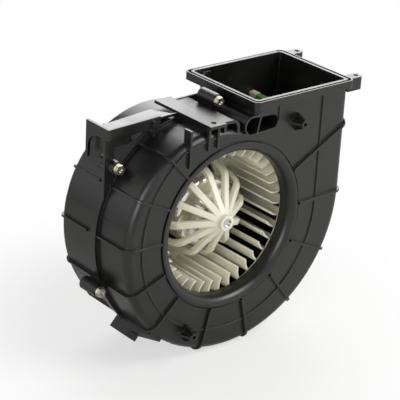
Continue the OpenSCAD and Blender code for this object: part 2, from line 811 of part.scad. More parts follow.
module front_housing() {
    color("#2b2b2a") difference() {
        union() {
            difference() {
                union() {
                    half_scroll(parting_y, shoulder_r, shoulder_r);
                    nose_web();
                    bracket();
                }
                rod(bell_outer_r, -bell_proud - bite, wall + bite);
            }
            bell();
            rim(-rim_proud - bite, parting_y, [lug_y]);
            for (a = concat(right_ribs, left_ribs))
                rib(a, bell_outer_r, parting_y - flange_t + bite, shoulder_r);
            front_ring_rib();
            for (s = screws) boss(s, screw_seat_y, parting_y, screw_seat_y + 2, parting_y - part_gap);
            for (p = post_places) post(p);
            stop_lug(shoulder_r / 2, parting_y - part_gap, parting_y - 14);
        }
        for (s = screws) screw_hole(s, screw_d / 2 + screw_gap, screw_seat_y - bite, parting_y + bite);
        for (p = post_places) post_hole(p);
        translate([deck_left + deck_w / 2, deck_hole_y, bracket_top - 2 * bracket_t])
            cylinder(h = 3 * bracket_t, d = deck_hole_d);
    }
}

// Ring rib on the front face: a circle below, an arc along the top and two straight uprights
module front_ring_rib() {
    circle_from = 125;
    top_from = 73;
    top_to = 114;
    top_r = arc_1_r - shoulder_r + bite;
    about_fan_axis(circle_from, 360 - circle_from)
        translate([ring_rib_r - ring_rib_t / 2, -ring_rib_h]) square([ring_rib_t, ring_rib_h + bite]);
    translate([arc_1_c.x, 0, arc_1_c.y]) about_fan_axis(top_from, top_to - top_from)
        translate([top_r - ring_rib_t / 2, -ring_rib_h]) square([ring_rib_t, ring_rib_h + bite]);
    translate([ring_rib_r - ring_rib_t / 2, -ring_rib_h, 0])
        cube([ring_rib_t, ring_rib_h + bite, outlet_top - rim_h]);
    translate([tongue_tip.x + tongue_tip_r - ring_rib_t, -ring_rib_h, tongue_tip.y])
        cube([ring_rib_t, ring_rib_h + bite, outlet_top - rim_h - tongue_tip.y + bite]);
}

module rear_housing() {
    seat_y = scroll_depth;
    color("#2b2b2a") difference() {
        union() {
            difference() {
                translate([0, scroll_depth, 0]) mirror([0, 1, 0])
                    half_scroll(scroll_depth - parting_y, rear_shoulder_r, outlet_corner_r);
                corner_recess();
            }
            trough_end();
            translate([0, scroll_depth, 0]) mirror([0, 1, 0]) {
                for (a = concat(right_ribs, left_ribs))
                    rib(a, mount_flange_r + 6, scroll_depth - parting_y - flange_t - 7, rear_shoulder_r);
            }
            rim(parting_y, scroll_depth + rim_rear_proud + bite, [lug_y + lug_spacing]);
            for (s = screws)
                boss(s, parting_y, parting_y + boss_rear, parting_y + part_gap, parting_y + boss_rear - 2);
            stop_lug(parting_y + part_gap, parting_y + 6, parting_y + part_gap);
            for (p = mount_screw_places) rod_at(p, small_boss_d / 2, seat_y - wall - 7, seat_y);
            for (p = resistor_screw_places) rod_at(p, small_boss_d / 2, seat_y - wall - 7, seat_y);
        }
        for (s = screws)
            screw_hole(s, screw_d / 2 + push_gap, parting_y - bite, parting_y + boss_rear - 1);
        rod(motor_hole_r, seat_y - wall - bite, seat_y + bite);
        for (p = concat(mount_screw_places, resistor_screw_places))
            rod_at(p, small_screw_d / 2 + push_gap, seat_y - wall - 6, seat_y + bite);
        translate([resistor_x, 0, resistor_z]) along_y(seat_y - 2 * wall, seat_y + bite)
            square(resistor_hole, center = true);
        translate([resistor_x, 0, resistor_z]) along_y(seat_y, seat_y + 2 * rib_h)
            round_rect(-resistor_plate / 2 - [bite, bite], resistor_plate / 2 + [bite, bite], 4);
    }
}

mount_screw_places = [
    for (i = [0 : mount_screw_count - 1]) mount_screw_r * unit(90 + i * 360 / mount_screw_count)];
resistor_screw_places = [
    for (s = [-1, 1]) [resistor_x + s * resistor_screw_off, resistor_z]];

// Hexagon screw with a flange under its head, pointing along +Y, head seat at y = 0
module hex_screw(d, len, af, head_h, flange_d) {
    flange_h = head_h * 0.3;
    rod(d / 2, -bite, len);
    rod(flange_d / 2, -flange_h, 0);
    along_y(-head_h, 0) circle(d = af / cos(30), $fn = 6);
}

module housing_screws() {
    color("#c9c2a0") for (s = screws)
        translate([s[0].x, screw_seat_y, s[0].y])
        difference() {
            hex_screw(screw_d, screw_len, screw_af, screw_head_h, screw_flange_d);
            rod(screw_af * 0.27, -screw_head_h - bite, -screw_head_h + 1);
        }
}

// One blade: a stretch of an arc between the two radii of the blade ring
module blade_2d() {
    intersection() {
        difference() {
            circle(wheel_r);
            circle(blade_inner_r);
        }
        translate([blade_inner_r + blade_w / 2, blade_arc_r]) difference() {
            circle(blade_arc_r + blade_t / 2);
            circle(blade_arc_r - blade_t / 2);
        }
        translate([blade_inner_r - bite, -blade_t]) square([blade_w + bite, blade_arc_r]);
    }
}

// Arm of the cage in the plane of the fan axis: x outward, y rearward
module arm_2d() {
    elbow_lap = 8;
    start = [hub_d / 2 - bite, hub_front_y + arm_t];
    out = unit(-arm_flare);
    back = unit(90 - arm_flare);
    bend = [cage_outer_r - elbow_r * out.x, elbow_y];
    run = bend - start;
    dist = norm(run);
    // Direction of the straight stretch, tangent to the outside of the bend
    lean = atan2(run.y, run.x) - asin(elbow_r / dist);
    side = unit(lean - 90);
    touch = bend + elbow_r * side;
    begin = touch - unit(lean) * (sqrt(dist * dist - elbow_r * elbow_r));
    thin = arm_t - join_gap;
    polygon([
        begin - join_gap * side, touch - join_gap * side,
        touch - thin * side, begin - thin * side]);
    intersection() {
        translate(bend) difference() {
            circle(elbow_r);
            circle(elbow_r - arm_t);
        }
        polygon([
            bend, bend + 2 * elbow_r * unit(lean - 90 - elbow_lap),
            bend + 2 * elbow_r * unit((lean - 90 - arm_flare) / 2),
            bend + 2 * elbow_r * unit(elbow_lap - arm_flare)]);
    }
    // The rear stretch ends inside the back plate
    tail = back * (wheel_rear_y - back_plate_t * 0.8 - elbow_y - elbow_r * out.y) / back.y;
    outside = bend + (elbow_r - join_gap) * out;
    inside = bend + (elbow_r - thin) * out;
    polygon([outside, outside + tail, inside + tail, inside]);
}

module fan_wheel() {
    color("#e9e4c6") difference() {
        union() {
            along_y(wheel_front_y, wheel_rear_y - bite)
                for (i = [0 : blade_count - 1]) rotate(i * 360 / blade_count) blade_2d();
            tube(wheel_r + tip_ring_w / 2, wheel_r - tip_ring_w / 2, wheel_front_y, wheel_front_y + tip_ring_h);
            tube(wheel_r + bite / 2, cage_rear_r - arm_t - bite, wheel_rear_y - back_plate_t, wheel_rear_y);
            for (i = [0 : arm_count - 1])
                rotate([0, -cage_turn - i * 360 / arm_count, 0])
                translate([0, 0, -arm_w / 2]) linear_extrude(arm_w) arm_2d();
            rod(hub_d / 2, hub_front_y, hub_rear_y);
        }
        rod(insert_r + push_gap, hub_front_y - bite, hub_rear_y + bite);
    }
}

module hub_insert() {
    color("#b9b9b4") tube(insert_r, shaft_r + push_gap, hub_front_y - 0.5, hub_rear_y);
}

module motor_shaft() {
    color("#c8c8c8") rod(shaft_r, hub_front_y + 1, shaft_rear_y);
}

module motor_can() {
    seat_r = bearing_d / 2 + push_gap;
    edge = 4;
    color("#d8d8d2") about_fan_axis() difference() {
        union() {
            translate([0, motor_front_y]) square([motor_r - edge, edge]);
            translate([0, motor_front_y + edge]) square([motor_r, can_len - edge]);
            translate([motor_r - edge, motor_front_y + edge]) circle(edge);
            translate([0, bearing_seat_y]) square([seat_r + can_t, bearing_seat_len + bite]);
        }
        translate([-bite, motor_front_y + can_t]) square([motor_r - can_t + bite, can_len]);
        translate([-bite, bearing_seat_y + can_t]) square([seat_r + bite, bearing_seat_len + bite]);
        translate([-bite, bearing_seat_y - bite]) square([shaft_r + pass_gap + bite, can_len]);
    }
}

module motor_end_cap() {
    seat_r = bearing_d / 2 + push_gap;
    color("#3b3b3b") difference() {
        union() {
            rod(motor_r, motor_rear_y, end_cap_rear_y);
            rod(seat_r + end_cap_t, motor_rear_y, rear_bearing_y + bearing_len + end_cap_t);
        }
        rod(seat_r, motor_rear_y - bite, rear_bearing_y + bearing_len);
        rod(shaft_r + pass_gap, motor_rear_y, shaft_rear_y + 2 * bite);
        for (x = [-1, 1]) terminal_slot(x);
    }
}

// Slot for a terminal blade through the brush card, the end cap and the socket's floor
module terminal_slot(side) {
    translate([side * socket_size.x / 4, 0, socket_z])
        along_y(brush_card_y - bite, end_cap_rear_y + socket_floor_t + bite)
        square(terminal_size + [2 * push_gap, 2 * push_gap], center = true);
}

module front_bearing() {
    color("#a8884a") tube(bearing_d / 2, shaft_r + run_gap, bearing_seat_y + can_t, bearing_seat_y + can_t + bearing_len);
}

module rear_bearing() {
    color("#a8884a") tube(bearing_d / 2, shaft_r + run_gap, rear_bearing_y, rear_bearing_y + bearing_len);
}

module field_magnets() {
    color("#4a4646") for (a = [0, 180])
        rotate([0, -a, 0])
        about_fan_axis(-65, 130)
        translate([magnet_inner_r, magnet_y])
        square([magnet_t, magnet_len]);
}

module armature_core() {
    slot_w = 2.2;
    slot_r = core_r - 9;
    color("#77777a") along_y(core_y, core_y + core_len) difference() {
        circle(core_r);
        circle(shaft_r + push_gap);
        for (i = [0 : slot_count - 1]) rotate(i * 360 / slot_count) {
            translate([slot_r, -slot_w / 2]) square([core_r, slot_w]);
            translate([slot_r + 2.5, 0]) circle(2.4);
        }
    }
}

module armature_windings() {
    inner = shaft_r + 3;
    outer = core_r - 3;
    color("#a4612d") {
        tube(outer, inner, core_y - winding_over, core_y - push_gap);
        tube(outer, inner, core_y + core_len + push_gap, core_y + core_len + winding_over);
    }
}

module commutator() {
    bars = 12;
    color("#b87a45") along_y(commutator_y, commutator_y + commutator_len) difference() {
        circle(commutator_r);
        circle(shaft_r + push_gap);
        for (i = [0 : bars - 1]) rotate(i * 360 / bars)
            translate([commutator_r - 0.8, -0.3]) square([2, 0.6]);
    }
}

// Brush card with two brush channels that open towards the commutator
module brush_card() {
    guide_end = spring_to + push_gap;
    guide_in = brush_in_r + guide_end_t;
    color("#6b5a3c") difference() {
        union() {
            rod(brush_card_r, brush_card_y, motor_rear_y - push_gap);
            for (s = [-1, 1])
                translate([-guide_w / 2, brush_y - guide_wall, s > 0 ? guide_in : -guide_out])
                cube([guide_w, brush_card_y - brush_y + guide_wall + bite, guide_out - guide_in]);
        }
        rod(commutator_r + 2, brush_card_y - bite, motor_rear_y + bite);
        for (s = [-1, 1])
            translate([-brush_w / 2 - push_gap, brush_y - push_gap, s > 0 ? guide_in - bite : -guide_end])
            cube([brush_w + 2 * push_gap, brush_w + 2 * push_gap, guide_end - guide_in + bite]);
        for (x = [-1, 1]) terminal_slot(x);
    }
}

// Carbon brush with a hollow face that follows the commutator
module brush(side) {
    color("#2f2d2c") difference() {
        translate([-brush_w / 2, brush_y, side > 0 ? commutator_r : -commutator_r - brush_len])
            cube([brush_w, brush_w, brush_len]);
        rod(brush_in_r, brush_y - bite, brush_y + brush_w + bite);
    }
}

module brush_upper() {
    brush(1);
}

module brush_lower() {
    brush(-1);
}

// Outline of a coil spring behind a brush, drawn as a tube
module brush_spring(side) {
    wire = 0.8;
    coil_r = brush_w / 2 - wire;
    color("#c4c4bd") translate([0, brush_y + brush_w / 2, side > 0 ? spring_from : -spring_to])
        rotate_extrude() translate([coil_r - wire, 0]) square([wire, spring_len]);
}

module brush_spring_upper() {
    brush_spring(1);
}

module brush_spring_lower() {
    brush_spring(-1);
}

// Cup that holds the rubber sleeve, with a flange on the rear wall
module motor_mount() {
    lip_y = end_cap_rear_y + push_gap;
    color("#2f2f2e") difference() {
        union() {
            rod(mount_cup_r, sleeve_y, lip_y + mount_lip_t);
            rod(motor_hole_r - pass_gap, scroll_depth - wall, scroll_depth + bite);
            rod(mount_flange_r, scroll_depth, scroll_depth + mount_flange_t);
            // Two ribs between each pair of screws
            rib_count = 2 * mount_screw_count;
            rib_to = mount_flange_r - small_head_d;
            for (i = [0 : rib_count - 1])
                rotate([0, -90 - (i + 0.5) * 360 / rib_count, 0])
                translate([0, 0, -rib_t / 2]) linear_extrude(rib_t)
                polygon([
                    [mount_cup_r - bite, scroll_depth], [rib_to, scroll_depth + mount_flange_t - bite],
                    [rib_to, scroll_depth + mount_flange_t], [mount_cup_r, lip_y],
                    [mount_cup_r - bite, lip_y]]);
        }
        rod(mount_bore_r, sleeve_y - bite, lip_y);
        rod(mount_hole_r, sleeve_y, lip_y + mount_lip_t + bite);
        for (p = mount_screw_places)
            rod_at(p, small_screw_d / 2 + screw_gap, scroll_depth - bite, scroll_depth + mount_flange_t + bite);
    }
}

module motor_sleeve() {
    color("#1d1d1d") tube(sleeve_outer_r, sleeve_inner_r, sleeve_y, end_cap_rear_y);
}

// Small pan-head screw along -Y, head seat at y = 0
module small_screw() {
    slot_w = 0.9;
    slot_len = small_head_d * 0.6;
    rod(small_screw_d / 2, -small_screw_len, bite);
    difference() {
        rod(small_head_d / 2, 0, small_head_h);
        for (size = [[slot_len, slot_w], [slot_w, slot_len]])
            along_y(small_head_h / 2, small_head_h + bite) square(size, center = true);
    }
}

module mount_screws() {
    color("#c9c2a0") for (p = mount_screw_places)
        translate([p.x, scroll_depth + mount_flange_t, p.y]) small_screw();
}

// Open plug socket: walls round a hollow, its floor on the seat
module socket_shell(size, len) {
    difference() {
        along_y(0, len) square(size, center = true);
        along_y(socket_floor_t, len + bite) square(size - 2 * [socket_t, socket_t], center = true);
    }
}

module motor_socket() {
    color("#3a3a38") difference() {
        translate([0, end_cap_rear_y, socket_z]) socket_shell(socket_size, socket_len);
        for (x = [-1, 1]) terminal_slot(x);
    }
}

module motor_terminals() {
    color("#c9b778") for (x = [-1, 1])
        translate([x * socket_size.x / 4, 0, socket_z])
        along_y(brush_card_y + 1, end_cap_rear_y + socket_len - 3)
        square(terminal_size, center = true);
}

module resistor_base() {
    y = scroll_depth;
    color("#2f2f2e") difference() {
        union() {
            translate([resistor_x, 0, resistor_z]) along_y(y, y + resistor_plate_t)
                round_rect(-resistor_plate / 2, resistor_plate / 2, 3);
            translate([resistor_x, y + resistor_plate_t - 2, resistor_z])
                socket_shell([socket_size.x, resistor_size.y], socket_len);
        }
        for (p = resistor_screw_places)
            rod_at(p, small_screw_d / 2 + screw_gap, y - bite, y + resistor_plate_t + bite);
        for (s = [-1, 1]) resistor_slot(s, y - bite, y + resistor_plate_t + bite);
    }
}

module resistor_slot(side, from, to) {
    translate([resistor_x, 0, resistor_z + side * resistor_size.y / 4])
        along_y(from, to)
        square([terminal_size.x + 2 * push_gap, terminal_size.y + 2 * push_gap], center = true);
}

// Cream ceramic carrier that passes through the wall
module resistor_holder() {
    y = scroll_depth;
    color("#d9d2b4") difference() {
        translate([resistor_x, 0, resistor_z]) along_y(y - wall - resistor_reach * 0.3, y)
            round_rect(-resistor_size / 2, resistor_size / 2, 2);
        for (s = [-1, 1]) resistor_slot(s, y - 6, y + bite);
    }
}

// Wire-wound element under green enamel
module resistor_body() {
    tip = scroll_depth - wall - resistor_reach;
    neck = scroll_depth - wall - resistor_reach * 0.3;
    core = resistor_size - [1, 1];
    turns = 7;
    color("#6f9a4d") translate([resistor_x, 0, resistor_z]) {
        along_y(tip, neck) round_rect(-core / 2 + [0.6, 0.6], core / 2 - [0.6, 0.6], 1.5);
        pitch = (neck - tip) / turns;
        for (i = [0 : turns - 1])
            along_y(tip + (i + 0.2) * pitch, tip + (i + 0.8) * pitch) round_rect(-core / 2, core / 2, 2);
    }
}

module resistor_terminals() {
    y = scroll_depth;
    color("#c9b778") for (s = [-1, 1])
        translate([resistor_x, 0, resistor_z + s * resistor_size.y / 4])
        along_y(y - 5, y + resistor_plate_t + socket_len - 5)
        square(terminal_size, center = true);
}

module resistor_screws() {
    color("#c9c2a0") for (p = resistor_screw_places)
        translate([p.x, scroll_depth + resistor_plate_t, p.y]) small_screw();
}

front_housing();
rear_housing();
housing_screws();
fan_wheel();
hub_insert();
motor_shaft();
motor_can();
motor_end_cap();
front_bearing();
rear_bearing();
field_magnets();
armature_core();
armature_windings();
commutator();
brush_card();
brush_upper();
brush_lower();
brush_spring_upper();
brush_spring_lower();
motor_mount();
motor_sleeve();
mount_screws();
motor_socket();
motor_terminals();
resistor_base();
resistor_holder();
resistor_body();
resistor_terminals();
resistor_screws();
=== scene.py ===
"""Looks of a cabin blower fan: a moulded scroll with a centrifugal wheel and a small DC motor.
The file follows the blower as it is put together: motor from the inside out, sleeve, wheel,
scroll halves with the motor mount, screws, resistor, and last the studio in which it stands."""

import math

import bpy
from mathutils import Matrix, Vector


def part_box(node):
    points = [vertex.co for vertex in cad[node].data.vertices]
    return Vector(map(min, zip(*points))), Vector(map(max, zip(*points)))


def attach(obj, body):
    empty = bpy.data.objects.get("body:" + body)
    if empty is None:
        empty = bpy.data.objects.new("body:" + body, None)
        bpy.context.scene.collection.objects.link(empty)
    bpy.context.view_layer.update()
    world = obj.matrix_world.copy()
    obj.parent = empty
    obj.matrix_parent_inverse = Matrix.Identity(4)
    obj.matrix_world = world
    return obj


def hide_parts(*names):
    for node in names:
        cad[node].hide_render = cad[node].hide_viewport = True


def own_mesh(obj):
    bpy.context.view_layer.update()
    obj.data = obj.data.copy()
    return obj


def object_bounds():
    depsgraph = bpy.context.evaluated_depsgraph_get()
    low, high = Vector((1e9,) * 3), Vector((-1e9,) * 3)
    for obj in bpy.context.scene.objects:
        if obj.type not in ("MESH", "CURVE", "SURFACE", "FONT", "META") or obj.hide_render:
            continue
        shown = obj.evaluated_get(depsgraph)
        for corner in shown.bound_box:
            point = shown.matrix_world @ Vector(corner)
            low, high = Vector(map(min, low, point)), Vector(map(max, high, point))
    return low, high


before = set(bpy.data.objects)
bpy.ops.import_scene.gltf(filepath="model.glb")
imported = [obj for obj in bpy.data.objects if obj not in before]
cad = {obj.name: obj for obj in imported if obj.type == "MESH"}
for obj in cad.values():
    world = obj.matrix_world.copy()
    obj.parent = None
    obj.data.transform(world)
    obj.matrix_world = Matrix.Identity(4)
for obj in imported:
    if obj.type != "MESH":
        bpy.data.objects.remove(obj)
cad_low, cad_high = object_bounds()


# Armature shaft: a 6 mm bar of carbon steel, ground between centres.
# Its front end shows in the middle of the wheel's hub, and it runs the length of the motor.

MM = 0.001


def linear(code):
    """A colour written as sRGB hex, as the linear values that a shader takes."""
    parts = [int(code[i:i + 2], 16) / 255 for i in (1, 3, 5)]
    return [c / 12.92 if c <= 0.04045 else ((c + 0.055) / 1.055) ** 2.4 for c in parts] + [1]


def per_mm(size):
    """The texture scale at which a pattern repeats about every so many millimetres."""
    return 1 / (size * MM)


def add(tree, kind, settings={}, inputs={}):
    """One shader node: its own settings, and its inputs as values or as sockets to link."""
    made = tree.nodes.new("ShaderNode" + kind)
    for name, value in settings.items():
        setattr(made, name, value)
    for name, value in inputs.items():
        if isinstance(value, bpy.types.NodeSocket):
            tree.links.new(value, made.inputs[name])
        else:
            made.inputs[name].default_value = value
    return made


def start_finish(name, **sockets):
    """A new material: its tree, its shader with plain values set, and the place on the piece."""
    material = bpy.data.materials.new(name)
    material.use_nodes = True
    tree = material.node_tree
    shader = tree.nodes["Principled BSDF"]
    for socket, value in sockets.items():
        shader.inputs[socket.replace("_", " ")].default_value = value
    place = add(tree, "TexCoord").outputs["Object"]
    return material, tree, shader, place


def dress(material, *names):
    """Gives CAD nodes their finish."""
    for name in names:
        cad[name].data.materials.clear()
        cad[name].data.materials.append(material)


# Ground carbon steel: grinding leaves fine rings round the bar, seen as faint bands along it.
ground_steel, tree, shader, place = start_finish("ground_carbon_steel", Metallic=1)
rings = add(tree, "TexNoise", {}, {
    "Vector": add(tree, "Mapping", {}, {"Vector": place, "Scale": (0.05, 1, 0.05)}).outputs[0],
    "Scale": per_mm(0.4), "Detail": 2})
tree.links.new(add(tree, "MixRGB", {}, {
    "Fac": rings.outputs["Fac"], "Color1": linear("#a9aaab"), "Color2": linear("#d3d3d0")}).outputs[0],
    shader.inputs["Base Color"])
tree.links.new(add(tree, "MapRange", {}, {
    "Value": rings.outputs["Fac"], "To Min": 0.2, "To Max": 0.34}).outputs[0], shader.inputs["Roughness"])
dress(ground_steel, "motor_shaft")


# Armature stack: some seventy punched sheets of electrical steel, pressed on the shaft.
# The sheet edges make fine lines round it, blued by the baked oxide.

lamination, tree, shader, place = start_finish("oxidised_lamination_steel", Metallic=1, Roughness=0.42)
# How far apart a wave texture draws its straight bands at a scale of 1
BAND = 2 * math.pi / 20
# Real sheets are 0.5 mm thick; the lines are drawn at 1 mm so that they show.
sheets = add(tree, "TexWave", {"bands_direction": "Y"}, {
    "Vector": place, "Scale": BAND * per_mm(1), "Distortion": 0.4})
stain = add(tree, "TexNoise", {}, {"Vector": place, "Scale": per_mm(9), "Detail": 4})
tint = add(tree, "MixRGB", {}, {
    "Fac": stain.outputs["Fac"], "Color1": linear("#55585f"), "Color2": linear("#8a8682")})
tree.links.new(tint.outputs[0], shader.inputs["Base Color"])
tree.links.new(add(tree, "Bump", {}, {
    "Height": sheets.outputs["Fac"], "Strength": 0.5, "Distance": 0.1 * MM}).outputs[0],
    shader.inputs["Normal"])
dress(lamination, "armature_core")


# Windings: enamelled copper wire laid through the slots, with its turns crossing at both ends.
# The enamel is clear amber, so the copper shines through a thin gloss.

magnet_wire, tree, shader, place = start_finish(
    "enamelled_copper_wire", Metallic=0.85, Roughness=0.3, Coat_Weight=0.6, Coat_Roughness=0.12)
# How far apart a wave texture draws its diagonal bands at a scale of 1
DIAGONAL_BAND = 2 * math.pi / (10 * math.sqrt(3))
# Wire is 0.7 mm thick; each turn is drawn at its real width.
turns = add(tree, "TexWave", {"bands_direction": "DIAGONAL"}, {
    "Vector": place, "Scale": DIAGONAL_BAND * per_mm(0.7), "Distortion": 2.5, "Detail": 1})
tree.links.new(add(tree, "MixRGB", {}, {
    "Fac": turns.outputs["Fac"], "Color1": linear("#6e3413"), "Color2": linear("#b8692f")}).outputs[0],
    shader.inputs["Base Color"])
tree.links.new(add(tree, "Bump", {}, {
    "Height": turns.outputs["Fac"], "Strength": 0.8, "Distance": 0.25 * MM}).outputs[0],
    shader.inputs["Normal"])
dress(magnet_wire, "armature_windings")


# Commutator: twelve bars of hard copper in a moulded core, turned after pressing on.
# The brushes leave dull brown and bright tracks round it.

bar_copper, tree, shader, place = start_finish("turned_hard_copper", Metallic=1)
track = add(tree, "TexNoise", {}, {
    "Vector": add(tree, "Mapping", {}, {"Vector": place, "Scale": (0.1, 1, 0.1)}).outputs[0],
    "Scale": per_mm(1.5), "Detail": 3})
tree.links.new(add(tree, "MixRGB", {}, {
    "Fac": track.outputs["Fac"], "Color1": linear("#7d4a2c"), "Color2": linear("#c98a58")}).outputs[0],
    shader.inputs["Base Color"])
tree.links.new(add(tree, "MapRange", {}, {
    "Value": track.outputs["Fac"], "To Min": 0.22, "To Max": 0.45}).outputs[0], shader.inputs["Roughness"])
dress(bar_copper, "commutator")


# Field magnets: two curved blocks of sintered ferrite, clipped inside the can.
# They are dull dark grey with a fine pressed grain and rubbed edges.

ferrite, tree, shader, place = start_finish("sintered_ferrite", Roughness=0.72)
grain = add(tree, "TexNoise", {}, {"Vector": place, "Scale": per_mm(1.2), "Detail": 6})
tree.links.new(add(tree, "MixRGB", {}, {
    "Fac": grain.outputs["Fac"], "Color1": linear("#2c2a2b"), "Color2": linear("#514c4b")}).outputs[0],
    shader.inputs["Base Color"])
tree.links.new(add(tree, "Bump", {}, {
    "Height": grain.outputs["Fac"], "Strength": 0.4, "Distance": 0.15 * MM}).outputs[0],
    shader.inputs["Normal"])
dress(ferrite, "field_magnets")


# Bearings: two bushes of oil-soaked sintered bronze, pressed into the can and the end cap.
# The pores hold oil, so the surface is finely pitted and half bright.

bronze, tree, shader, place = start_finish("sintered_bronze", Metallic=1, Roughness=0.4)
pores = add(tree, "TexVoronoi", {}, {"Vector": place, "Scale": per_mm(0.6)})
tree.links.new(add(tree, "MixRGB", {}, {
    "Fac": pores.outputs["Distance"], "Color1": linear("#6d5428"), "Color2": linear("#b8954f")}).outputs[0],
    shader.inputs["Base Color"])
tree.links.new(add(tree, "Bump", {}, {
    "Height": pores.outputs["Distance"], "Strength": 0.5, "Distance": 0.1 * MM}).outputs[0],
    shader.inputs["Normal"])
dress(bronze, "front_bearing", "rear_bearing")


# Motor can: deep-drawn sheet steel, plated bright.
# Drawing leaves faint lines along the axis and a soft waviness that bends reflections.

bright_plate, tree, shader, place = start_finish("bright_plated_sheet_steel", Metallic=1)
waviness = add(tree, "TexNoise", {}, {"Vector": place, "Scale": per_mm(14), "Detail": 2})
draw_lines = add(tree, "TexNoise", {}, {
    "Vector": add(tree, "Mapping", {}, {"Vector": place, "Scale": (1, 0.06, 1)}).outputs[0],
    "Scale": per_mm(0.8), "Detail": 2})
tree.links.new(add(tree, "MixRGB", {}, {
    "Fac": draw_lines.outputs["Fac"], "Color1": linear("#d2d2cd"), "Color2": linear("#ecece8")}).outputs[0],
    shader.inputs["Base Color"])
tree.links.new(add(tree, "MapRange", {}, {
    "Value": draw_lines.outputs["Fac"], "To Min": 0.2, "To Max": 0.32}).outputs[0],
    shader.inputs["Roughness"])
tree.links.new(add(tree, "Bump", {}, {
    "Height": waviness.outputs["Fac"], "Strength": 0.1, "Distance": 0.3 * MM}).outputs[0],
    shader.inputs["Normal"])
dress(bright_plate, "motor_can")


# Brush card: a disc of phenolic paper board that carries the brush channels.
# Pressed paper fibre gives it a brown, streaky face.

phenolic, tree, shader, place = start_finish("phenolic_paper_board", Roughness=0.5, IOR=1.6)
fibre = add(tree, "TexNoise", {}, {
    "Vector": add(tree, "Mapping", {}, {"Vector": place, "Scale": (0.25, 1, 1)}).outputs[0],
    "Scale": per_mm(0.9), "Detail": 5})
tree.links.new(add(tree, "MixRGB", {}, {
    "Fac": fibre.outputs["Fac"], "Color1": linear("#4c3119"), "Color2": linear("#8a6338")}).outputs[0],
    shader.inputs["Base Color"])
dress(phenolic, "brush_card")


# Brushes: two pressed carbon blocks that slide in the card's channels.
# They are matt black with a faint sparkle of graphite.

carbon, tree, shader, place = start_finish("pressed_carbon", Roughness=0.55)
flakes = add(tree, "TexNoise", {}, {"Vector": place, "Scale": per_mm(0.5), "Detail": 4})
tree.links.new(add(tree, "MixRGB", {}, {
    "Fac": flakes.outputs["Fac"], "Color1": linear("#161516"), "Color2": linear("#3a3839")}).outputs[0],
    shader.inputs["Base Color"])
tree.links.new(add(tree, "MapRange", {}, {
    "Value": flakes.outputs["Fac"], "To Min": 0.4, "To Max": 0.7}).outputs[0], shader.inputs["Roughness"])
dress(carbon, "brush_upper", "brush_lower")


# Brush springs: open coils of 0.8 mm spring wire, pressed between brush and channel end.

spring_wire, tree, shader, place = start_finish("bright_drawn_spring_wire", Metallic=1)
drawn = add(tree, "TexNoise", {}, {"Vector": place, "Scale": per_mm(0.6), "Detail": 2})
tree.links.new(add(tree, "MixRGB", {}, {
    "Fac": drawn.outputs["Fac"], "Color1": linear("#9d9d98"), "Color2": linear("#cfcfc8")}).outputs[0],
    shader.inputs["Base Color"])
tree.links.new(add(tree, "MapRange", {}, {
    "Value": drawn.outputs["Fac"], "To Min": 0.2, "To Max": 0.35}).outputs[0], shader.inputs["Roughness"])

WIRE, TURNS, STEPS, SIDES = 0.8 * MM, 5, 20, 8


def coil(node):
    """A coil that fills the outline of its CAD tube."""
    low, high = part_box(node)
    middle = (low + high) / 2
    radius, rise = (high.x - low.x - WIRE) / 2, high.z - low.z - WIRE
    corners, faces = [], []
    for step in range(TURNS * STEPS + 1):
        turn = 2 * math.pi * step / STEPS
        for side in range(SIDES):
            roll = 2 * math.pi * side / SIDES
            out = radius + WIRE / 2 * math.cos(roll)
            corners.append((middle.x + out * math.cos(turn), middle.y + out * math.sin(turn),
                            low.z + WIRE / 2 * (1 + math.sin(roll)) + rise * step / (TURNS * STEPS)))
    for first in range(0, TURNS * STEPS * SIDES, SIDES):
        for side in range(SIDES):
            after = (side + 1) % SIDES
            faces.append((first + side, first + SIDES + side, first + SIDES + after, first + after))
    faces.append(tuple(range(SIDES)))
    faces.append(tuple(reversed(range(len(corners) - SIDES, len(corners)))))
    mesh = bpy.data.meshes.new(node + "_coil")
    mesh.from_pydata(corners, [], faces)
    mesh.shade_smooth()
    mesh.materials.append(spring_wire)
    spring = bpy.data.objects.new(node + "_coil", mesh)
    bpy.context.collection.objects.link(spring)
    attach(spring, "housing")
    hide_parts(node)
    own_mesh(spring)


coil("brush_spring_upper")
coil("brush_spring_lower")


# End cap and plug socket: black glass-filled PBT, moulded.
# The fibres give a dull, slightly mottled face that is greyer than the scroll's.

filled_pbt, tree, shader, place = start_finish("moulded_glass_filled_pbt", IOR=1.55)
fibres = add(tree, "TexNoise", {}, {"Vector": place, "Scale": per_mm(1.4), "Detail": 5})
tree.links.new(add(tree, "MixRGB", {}, {
    "Fac": fibres.outputs["Fac"], "Color1": linear("#1e1e1d"), "Color2": linear("#31312f")}).outputs[0],
    shader.inputs["Base Color"])
tree.links.new(add(tree, "MapRange", {}, {
    "Value": fibres.outputs["Fac"], "To Min": 0.42, "To Max": 0.6}).outputs[0], shader.inputs["Roughness"])
tree.links.new(add(tree, "Bump", {}, {
    "Height": fibres.outputs["Fac"], "Strength": 0.2, "Distance": 0.1 * MM}).outputs[0],
    shader.inputs["Normal"])
dress(filled_pbt, "motor_end_cap", "motor_socket")


# Terminal blades: tinned brass strip, 0.8 mm thick, pressed through cap, card and plate.
# The tin is soft grey-yellow with fine rolling lines.

